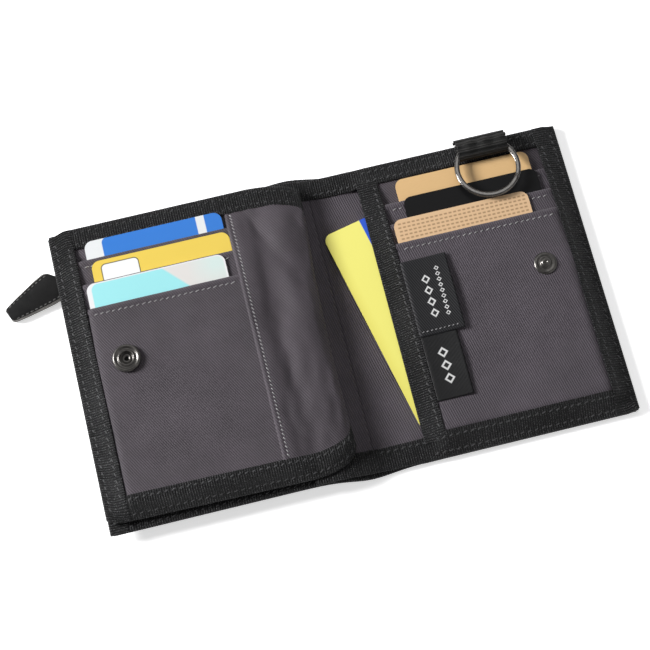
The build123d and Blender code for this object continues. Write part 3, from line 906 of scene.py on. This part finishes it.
# --- cards ---
def card_look(name, base, node, paint=None, rough=0.3, gloss=0.3):
    """Smooth plastic with a soft gloss. paint adds printed areas, from the card's top left corner, and on
    the lemon card a painted shade at its left edge.
    """
    look = Look(name, base, rough, Coat_Weight=0.04, Coat_Roughness=0.15, Specular_IOR_Level=gloss)
    at, x, y, _ = look.object_xyz()
    low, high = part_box(node)
    tone = look.blend(look.noise(at, 12.0) * 0.25, base, tuple(c * 0.86 for c in base))
    if paint:
        tone = paint(look, x - low.x / MM, high.y / MM - y, tone)
    look.surface(tone, look.noise(at, 0.6), 0.01, look.noise(at, 2.0), rough - 0.05, rough + 0.12)
    repaint(node, look.mat)


def rounded(px, py, x0, y0, x1, y1, r):
    """Share inside a rectangle with rounded corners."""
    dx, dy = (px.look.math("MAXIMUM", abs(p - (a + b) / 2) - ((b - a) / 2 - r), 0.0)
              for p, a, b in ((px, x0, x1), (py, y0, y1)))
    return px.look.math("SQRT", dx * dx + dy * dy).below(r, 0.12)


def paint_cards():
    white = (0.68, 0.7, 0.71)

    def blue(look, px, py, tone):
        tone = look.blend(rounded(px, py, 6.9, -0.2, 60.0, 95.0, 2.2), white, tone)
        return look.blend(px.above(44.1) * px.below(47.4), tone, white)

    def yellow(look, px, py, tone):
        tone = look.blend(rounded(px, py, 3.4, 1.7, 18.2, 13.0, 1.9), tone, (0.06, 0.05, 0.02))
        return look.blend(rounded(px, py, 3.75, 2.05, 17.85, 12.6, 1.6), tone, (0.78, 0.79, 0.79))

    def mint(look, px, py, tone):
        tone = look.blend((py * -0.95 + px).above(29.5, 0.5), tone, (0.65, 0.63, 0.61))
        glow = px.above(44.0, 5.0) * py.below(9.0, 5.0)
        tone = look.blend(glow * 0.35, tone, (0.45, 0.8, 0.76))
        return look.blend(rounded(px, py, 1.9, 0.45, 53.3, 95.0, 2.6), (0.72, 0.72, 0.73), tone)

    def weave(look, px, py, tone):
        shift = look.math("GREATER_THAN", look.wave(py, 3.1), 0.5) * 0.7
        mark = look.wave(py, 1.55).above(0.62, 0.25) * look.wave(px, 1.85, shift).above(0.3, 0.3)
        inside = px.above(1.2) * py.above(1.1) * px.below(52.8)
        return look.blend(mark * inside * 0.75, tone, (0.26, 0.15, 0.07))

    def gold(look, px, py, tone):
        grain = look.noise(look.object_xyz()[0], 0.5, 2, 0.6, squeeze=(0.3, 1.5, 1.0))
        return look.blend(grain * 0.3, tone, (0.55, 0.34, 0.14))

    def lemon(look, px, py, tone):
        # across the card itself, which leans in its pocket
        lean, corner = radians(12.3), row(1.7, 35.6, 0) / MM
        _, x, y, _ = look.object_xyz()
        across = (x - corner.x) * cos(lean) + (y - corner.y) * sin(lean)
        # painted shade: darker, deeper yellow over about 4 mm along the card's left edge
        tone = look.blend(across.below(2.0, 2.0) * 0.3, tone, (0.62, 0.52, 0.06))
        return look.blend(across.above(15.8, 0.12), tone, (0.02, 0.09, 0.6))

    card_look("card_blue", (0.028, 0.175, 0.58), "left_card_1", blue)
    card_look("card_yellow", (0.74, 0.54, 0.085), "left_card_2", yellow)
    card_look("card_mint", (0.31, 0.7, 0.73), "left_card_3", mint)
    card_look("card_gold", (0.7, 0.46, 0.22), "right_card_1", gold, 0.4)
    card_look("card_black", (0.006, 0.006, 0.0065), "right_card_2", None, 0.45, 0.12)
    card_look("card_tan", (0.68, 0.46, 0.27), "right_card_3", weave, 0.42)
    card_look("card_lemon", (0.84, 0.79, 0.19), "loose_card_front", lemon)
    card_look("card_royal", (0.02, 0.12, 0.5), "loose_card_rear")


# --- snap ---
def round_part(ends):
    """The centre of a round part's foot, its radius and its height."""
    (x0, y0, z0), (x1, y1, z1) = ends
    return ((x0 + x1) / 2, (y0 + y1) / 2, z0), (x1 - x0) / 2, z1 - z0


def build_snap():
    centre, r, h = round_part(SOCKET)
    outline = [(0, 0.05), (0.8, 0.05), (0.95, 0.3), (1.3, 0.44), (1.7, 0.38), (1.95, 0.12),
               (2.3, 0.1), (2.45, 0.4), (2.45, h - 0.35), (2.6, h - 0.1), (2.85, h - 0.02),
               (3.1, h - 0.1), (3.25, h - 0.45), (3.5, h - 0.6), (3.9, h - 0.55), (4.2, h - 0.25),
               (4.6, h - 0.1), (4.95, h - 0.18), (5.25, h - 0.5), (r, h - 0.9), (r, 0.25),
               (r - 0.25, 0.0), (0, 0.0)]
    keep(lathe("snap_socket_ring", outline, centre, GUNMETAL), "left_half", "snap_socket")
    # a near-black disc in the socket's middle: painted shade where the bore is dark
    eye = [(0, 0.12), (0.5, 0.12), (0.78, 0.09), (0.85, 0.06), (0.8, 0.02), (0, 0.02)]
    keep(lathe("snap_socket_painted_shade", eye, centre, SHADOW), "left_half")

    centre, r, h = round_part(STUD)
    outline = [(0, h - 0.35), (0.45, h - 0.33), (0.6, h - 0.12), (0.95, h - 0.02), (1.35, h - 0.1),
               (1.75, h - 0.4), (2.0, h - 0.8), (1.95, h - 1.1), (1.75, h - 1.3), (2.0, 0.75),
               (2.35, 0.52), (2.9, 0.48), (3.2, 0.62), (3.6, 0.68), (4.0, 0.58), (4.3, 0.4),
               (r, 0.15), (r - 0.12, 0.0), (0, 0.0)]
    keep(lathe("snap_stud_cap", outline, centre, GUNMETAL), "right_half", "snap_stud")
    for node in ("snap_socket_rivet", "snap_stud_rivet"):
        repaint(node, GUNMETAL)


# --- key ring, webbing loop ---
def build_ring():
    """A split ring wound from rounded flat wire, leaning on the loop."""
    outer, inner, half_thick = 13.0, 11.05, 0.36
    turns, pitch, count = 1.92, 0.74, 260
    tilt = radians(5.0)
    centre = (round_part(span("key_ring"))[0][0], 59.5 - outer * cos(tilt), 7.8 + outer * sin(tilt))
    middle, half = (outer + inner) / 2, (outer - inner) / 2
    t = np.linspace(0, 2 * pi * turns, count)[:, None]
    rise = pitch * (t / (2 * pi) - turns / 2 - 0.04)
    q = circle(14)
    ease = np.clip(np.minimum(np.arange(count), np.arange(count)[::-1]) / 4.0, 0.25, 1)[:, None] ** 0.5
    radius = middle + np.sign(np.cos(q)) * np.abs(np.cos(q)) ** 0.8 * half * ease
    z = rise + np.sign(np.sin(q)) * np.abs(np.sin(q)) ** 0.7 * half_thick * ease
    y = radius * np.sin(t)
    rings = xyz(centre[0] + radius * np.cos(t), centre[1] + y * cos(tilt) + z * sin(tilt),
                centre[2] - y * sin(tilt) + z * cos(tilt))
    keep(loft("split_ring", rings, NICKEL), "ring", "key_ring")


def build_loop():
    low, high = span("webbing_loop")
    x0, x1 = low[0], high[0]
    # the webbing's path round the ring, from its foot over the top to the near edge and back
    path = np.array([(59.9, 4.95), (60.2, 6.2), (60.15, 7.7), (59.5, 9.0), (57.9, 9.95), (55.8, 10.2),
                     (54.0, 9.9), (52.6, 8.9), (52.1, 7.8), (52.5, 6.95), (53.6, 6.35), (56.0, 6.1),
                     (59.2, 5.75)])
    path = sample(np.linspace(0, len(path) - 1, 110), np.arange(len(path)), path)
    soften(path, 3)
    far = lengths(path)
    s = np.linspace(0, far[-1], 150)
    y, z = sample(s, far, path).T
    out = unit(np.stack([np.gradient(z), -np.gradient(y)], 1))
    across = np.linspace(-1, 1, 46)
    x = np.linspace(x0, x1, 46)
    uv = pairs(s, x)
    s, y, z = s[:, None], y[:, None], z[:, None]
    ribs = 0.10 * np.cos(2 * pi * s / 1.3)
    flat = smooth((s - 3) / 5) * smooth((far[-1] - 9 - s) / 4)
    off = ribs + 0.28 * np.sin(2 * pi * (x - x0) / 6.5) * flat
    edge = 0.25 * np.sin(2 * pi * s / 2.6) * across ** 8 * np.sign(across)
    top = xyz(x + edge, y - out[:, :1] * off, z - out[:, 1:] * off)
    keep(sheet("webbing_strap", top[::-1], 0.55, WEBBING, uv), "loop", "webbing_loop")


# --- labels ---
def label_look(name, base, sheen, motif_rows, low, high, pitch, angle):
    """A woven ground with rows of small diamonds, all of them whole."""
    look = Look(name, base, 0.5, Sheen_Weight=0.05, Sheen_Roughness=0.35, Specular_IOR_Level=0.2)
    _, x, y, _ = look.object_xyz()
    px, py = x - (low[0] + SPINE / MM), y - low[1]
    a = radians(angle)
    ribs = look.wave(x * cos(a) + y * sin(a), pitch)
    tone = look.blend(ribs, base, sheen)
    tall, margin = high[1] - low[1], 3.5
    for centre, half, step in motif_rows:
        first, last = ceil(margin / step) * step, floor((tall - margin) / step) * step
        inside = py.above(first, 0.05) * py.below(last, 0.05)
        run = abs(look.math("FRACT", look.math("DIVIDE", py, step)) - 0.5)
        shape = run * 2.2 + abs(look.math("DIVIDE", px - centre, half))
        mark = shape.below(0.9, 0.06) - shape.below(0.5, 0.06)
        tone = look.blend(mark * inside, tone, (0.6, 0.6, 0.6))
    return look.surface(tone, ribs, 0.06, ribs, 0.4, 0.6)


def build_labels():
    ground = RIGHT_FACES[2][1][2] - 0.42
    specs = [("upper", 1.1, 0.55, 1.3, [(7.6, 1.9, 4.6), (12.6, 1.1, 2.3)],
              (0.004, 0.004, 0.0045), (0.028, 0.028, 0.031), 0.8, 25),
             ("lower", 0.7, 0.25, 0.0, [(6.6, 2.3, 5.2)],
              (0.003, 0.003, 0.0033), (0.011, 0.011, 0.012), 0.5, 0)]
    for name, curl, over, overlap, motif, base, sheen, pitch, angle in specs:
        low, high = span("label_" + name)
        look = label_look("label_" + name, base, sheen, motif, low, high, pitch, angle)
        x, y = grid(low[0] - 1.2, high[0], low[1] - overlap, high[1], 0.6)
        lift = curl * np.clip((x - low[0] - 2) / (high[0] - low[0]), 0, 1) ** 1.7
        z = ground + over + lift * (1 + 0.35 * np.sin((y - low[1]) / 7.0))
        z = mix(right_env(x, y, False)[..., 2] + 0.2, z, smooth((x - low[0] + 1.2) / 2.0))
        top = xyz(x, y, z)
        cloth("woven_label_" + name, top, LABEL, look,
              (high[0] - low[0] + 1.2, high[1] - low[1] + overlap), "right_half", "label_" + name,
              on=["card_panel_tape"])
        if name == "upper":
            obj = stitches("label_stitches", top[3:-3, 2] + np.array([0, 0.6, 0.03]), UP,
                           THREAD_PALE, 1.6, 1.0, 0.35, 0.25, 0.3)
            keep(obj, "right_half", slot="woven_label")


# --- zipper pull ---
def build_pull():
    low, high = span("zipper_slider")
    pivot = np.array([(low[0] + high[0]) / 2 - 4.0, (low[1] + high[1]) / 2, 1.6])
    turn, thick, gap = radians(23.0), 1.1, 0.04
    forward = np.array([-cos(turn), -sin(turn), 0])
    sideways = np.array([sin(turn), -cos(turn), 0])
    # half width of the leather against distance from the bail
    far = [1.7, 3.2, 5.0, 6.3, 7.6, 9.2, 12.6, 18.0, 23.0, 27.2, 28.7, 29.2]
    wide = [1.4, 1.55, 1.9, 3.3, 5.5, 6.35, 6.1, 5.2, 4.3, 3.4, 3.0, 2.2]
    u = np.linspace(far[0], far[-1], 90)
    w = np.interp(u, far, wide)
    soften(w, 4)
    # across one face: the cut edges, which show pale, are the last three points on each side
    q = np.array([-1, -0.985, -0.93, -0.82, -0.72, -0.45, -0.15, 0.15, 0.45, 0.72, 0.82, 0.93, 0.985, 1])
    nq = len(q)
    rim = {k % (2 * nq) for first in (-3, nq - 3) for k in range(first, first + 6)}
    body = np.clip(np.minimum(u - u[0], u[-1] - u) / 4.0, 0, 1)[:, None]
    swell = 0.16 * body * np.clip(1 - (np.abs(q) / 0.72) ** 2, 0, 1) - 0.1 * hump(np.abs(q) - 0.8, 0.05)
    edge = 0.16 * np.clip((np.abs(q) - 0.93) / 0.07, 0, 1) ** 2
    for name, z0, z1 in (("outer", -thick, -gap), ("inner", gap, thick)):
        top = z1 - edge + (swell if z1 > 0 else 0 * swell)
        bottom = z0 + edge - (swell if z1 < 0 else 0 * swell)
        across = w[:, None] * np.concatenate([q, q[::-1]])
        rings = (pivot + forward * u[:, None, None] + sideways * across[..., None]
                 + np.array(UP) * np.concatenate([top, bottom[:, ::-1]], 1)[..., None])
        slab = loft("pull_" + name, rings, LEATHER)
        slab.data.materials.append(LEATHER_EDGE)
        for poly in slab.data.polygons:
            poly.material_index = int({v % (2 * nq) for v in poly.vertices} <= rim)
        keep(slab, "pull", "pull_leather_" + name)
    inside = (u > 8.2) & (u < 27.8)
    for face, z in (("inner", 1), ("outer", -1)):
        for k, sign in ((1, -1), (2, 1)):
            line = (pivot + forward * u[inside, None] + sideways * sign * 0.8 * w[inside, None]
                    + np.array([0, 0, z * (thick - 0.12)]))
            obj = stitches("pull_stitches_%s_%d" % (face, k), line, (0, 0, z), THREAD_MID,
                           1.9, 1.45, 0.4, 0.36, 0.05)
            keep(obj, "pull")


# --- stage ---
def build_stage():
    look = Look("floor", (0.93, 0.93, 0.935), 0.85, Specular_IOR_Level=0.1, Emission_Color=(1, 1, 1))
    at = look.object_xyz()[0]
    far = Val(look, look.node("VectorMath", {0: at}, operation="LENGTH").outputs["Value"])
    look.put(far.ramp(260.0, 900.0) * 0.55 + 0.52, look.shader.inputs["Emission Strength"])
    look.rough(look.noise(at, 60.0), 0.82, 0.88)
    size = 3.0
    data = bpy.data.meshes.new("floor")
    corners = [(x * size, y * size, 0) for x, y in ((-1, -1), (1, -1), (1, 1), (-1, 1))]
    data.from_pydata(corners, [], [(0, 1, 2, 3)])
    data.materials.append(look.mat)
    ground = add_object("floor", data)
    ground.location.z = -0.0002

    # the light tent: soft light from above, and a white wall all round
    world = bpy.data.worlds.new("studio")
    world.use_nodes = True
    tree = world.node_tree
    back = tree.nodes["Background"]
    coords, split, wall = (tree.nodes.new("ShaderNode" + kind)
                           for kind in ("TexCoord", "SeparateXYZ", "MapRange"))
    for key, value in (("From Min", 0.12), ("From Max", 0.3), ("To Min", 1.05), ("To Max", 0.17)):
        wall.inputs[key].default_value = value
    tree.links.new(coords.outputs["Generated"], split.inputs[0])
    tree.links.new(split.outputs[2], wall.inputs["Value"])
    tree.links.new(wall.outputs["Result"], back.inputs["Strength"])
    back.inputs["Color"].default_value = (1, 1, 1, 1)
    bpy.context.scene.world = world
    for name, away, width, power in (("key", (-1.1, 0.45, 0.68), 0.4, 31.0),
                                     ("fill", (0.8, -0.5, 0.9), 0.9, 1.2),
                                     ("top", (0.1, 0.6, 1.0), 0.6, 1.6)):
        lamp = bpy.data.lights.new(name, "AREA")
        lamp.size, lamp.energy = width, power
        obj = add_object(name, lamp)
        obj.location = row(0, 0, 0) + Vector(away)
        obj.rotation_euler = (-Vector(away)).to_track_quat("-Z", "Y").to_euler()

    cam = bpy.data.cameras.new("camera")
    cam.lens, cam.sensor_width = 88.6, 36.0
    cam.clip_start, cam.clip_end = 0.05, 20
    obj = add_object("camera", cam)
    here, aim = row(-44.35, -164.3, 594.4), row(-5.7, 1.7, 0)
    ahead = (aim - here).normalized()
    right = Vector((0.97121, -0.23819, -0.00338))
    right = (right - ahead * right.dot(ahead)).normalized()
    turn = Matrix((right, right.cross(ahead), -ahead)).transposed()
    obj.matrix_world = Matrix.Translation(here) @ turn.to_4x4()
    bpy.context.scene.camera = obj
    bpy.context.scene.view_settings.view_transform = "Standard"


build_page()
for k in range(3):
    build_face("left", k, LEFT_FACES[k], -HALF + 6.5, SEAM_X + 3.0, left_xy, LINING)
    build_face("right", k, RIGHT_FACES[k], PANEL_X + 6.5, HALF - 6.5, right_env, LINING_STEEP)
build_left_bindings()
build_right_cloth()
build_right_bindings()
build_left_shell()
build_coin_pocket()
build_zipper()
paint_cards()
build_snap()
build_ring()
build_loop()
build_labels()
build_pull()
build_stage()

# the flap and the page's edge pieces each get their own copy of their mesh
EDGES = ["page_" + name for name in ("binding_top_tape", "binding_bottom_tape", "stitches_top_outer",
                                     "stitches_top_inner", "stitches_bottom_outer", "stitches_bottom_inner")]
for names, x, share in ((["page_flap", "page_flap_painted_highlight"], SEAM_X, 0.825), (EDGES, -HALF, 0.945)):
    for name in names:
        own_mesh(bpy.data.objects[name], "fold_left", axis=(1, 0, 0), anchor=row(x, 0, 0), keep=share)
